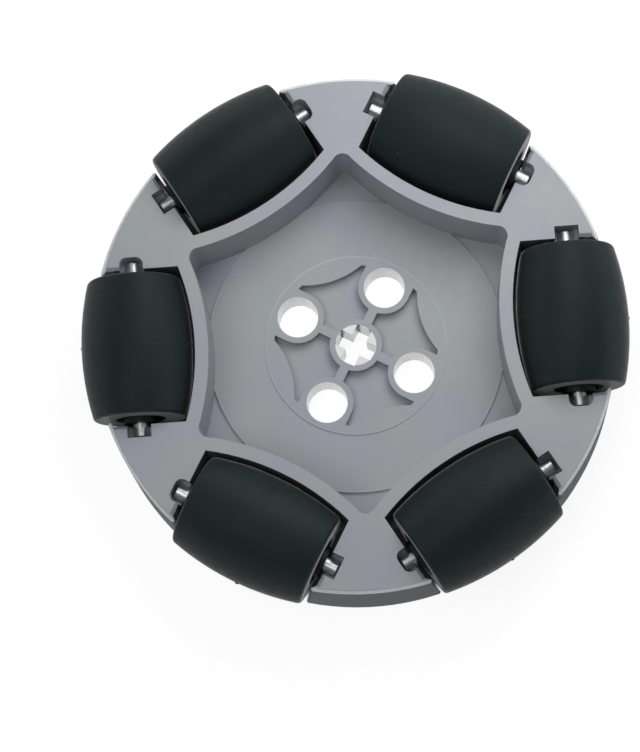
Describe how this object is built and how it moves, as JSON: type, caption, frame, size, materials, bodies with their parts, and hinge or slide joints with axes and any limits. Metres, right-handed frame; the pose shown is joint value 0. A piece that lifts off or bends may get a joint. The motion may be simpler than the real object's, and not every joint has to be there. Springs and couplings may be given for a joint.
{
  "type": "omni wheel",
  "caption": "Single-row omni wheel: a moulded hub with a recessed front, pin and cross-axle holes, and barrel-shaped rubber rollers that spin freely on steel pins in open slots.",
  "frame": {"origin": "middle of the hub's back face, on the wheel's axis", "axes": "+Z along the wheel's axis, out of the recessed front; +X through the middle of roller 1 and along one arm of the cross hole"},
  "size_m": [0.066, 0.064, 0.0184],
  "materials": {
    "hub_plastic": "satin moulded, light grey",
    "roller_rubber": "matt moulded, black",
    "bush_nylon": "matt, black",
    "pin_steel": "ground, bright"
  },
  "bodies": {
    "hub": {"wheel_hub": "hub_plastic", "axle_pin_1": "pin_steel", "axle_pin_2": "pin_steel", "axle_pin_3": "pin_steel", "axle_pin_4": "pin_steel", "axle_pin_5": "pin_steel", "axle_pin_6": "pin_steel"},
    "roller_1": {"roller_tyre_1": "roller_rubber", "roller_bush_1": "bush_nylon"},
    "roller_2": {"roller_tyre_2": "roller_rubber", "roller_bush_2": "bush_nylon"},
    "roller_3": {"roller_tyre_3": "roller_rubber", "roller_bush_3": "bush_nylon"},
    "roller_4": {"roller_tyre_4": "roller_rubber", "roller_bush_4": "bush_nylon"},
    "roller_5": {"roller_tyre_5": "roller_rubber", "roller_bush_5": "bush_nylon"},
    "roller_6": {"roller_tyre_6": "roller_rubber", "roller_bush_6": "bush_nylon"}
  },
  "joints": [
    {"name": "roller_1_spin", "type": "hinge", "parent": "hub", "child": "roller_1", "pos_m": [0.0263, 0, 0.0117], "axis": [0, 1, 0], "continuous": true},
    {"name": "roller_2_spin", "type": "hinge", "parent": "hub", "child": "roller_2", "pos_m": [0.01315, 0.02278, 0.0117], "axis": [-0.866, 0.5, 0], "continuous": true},
    {"name": "roller_3_spin", "type": "hinge", "parent": "hub", "child": "roller_3", "pos_m": [-0.01315, 0.02278, 0.0117], "axis": [-0.866, -0.5, 0], "continuous": true},
    {"name": "roller_4_spin", "type": "hinge", "parent": "hub", "child": "roller_4", "pos_m": [-0.0263, 0, 0.0117], "axis": [0, -1, 0], "continuous": true},
    {"name": "roller_5_spin", "type": "hinge", "parent": "hub", "child": "roller_5", "pos_m": [-0.01315, -0.02278, 0.0117], "axis": [0.866, -0.5, 0], "continuous": true},
    {"name": "roller_6_spin", "type": "hinge", "parent": "hub", "child": "roller_6", "pos_m": [0.01315, -0.02278, 0.0117], "axis": [0.866, 0.5, 0], "continuous": true}
  ]
}
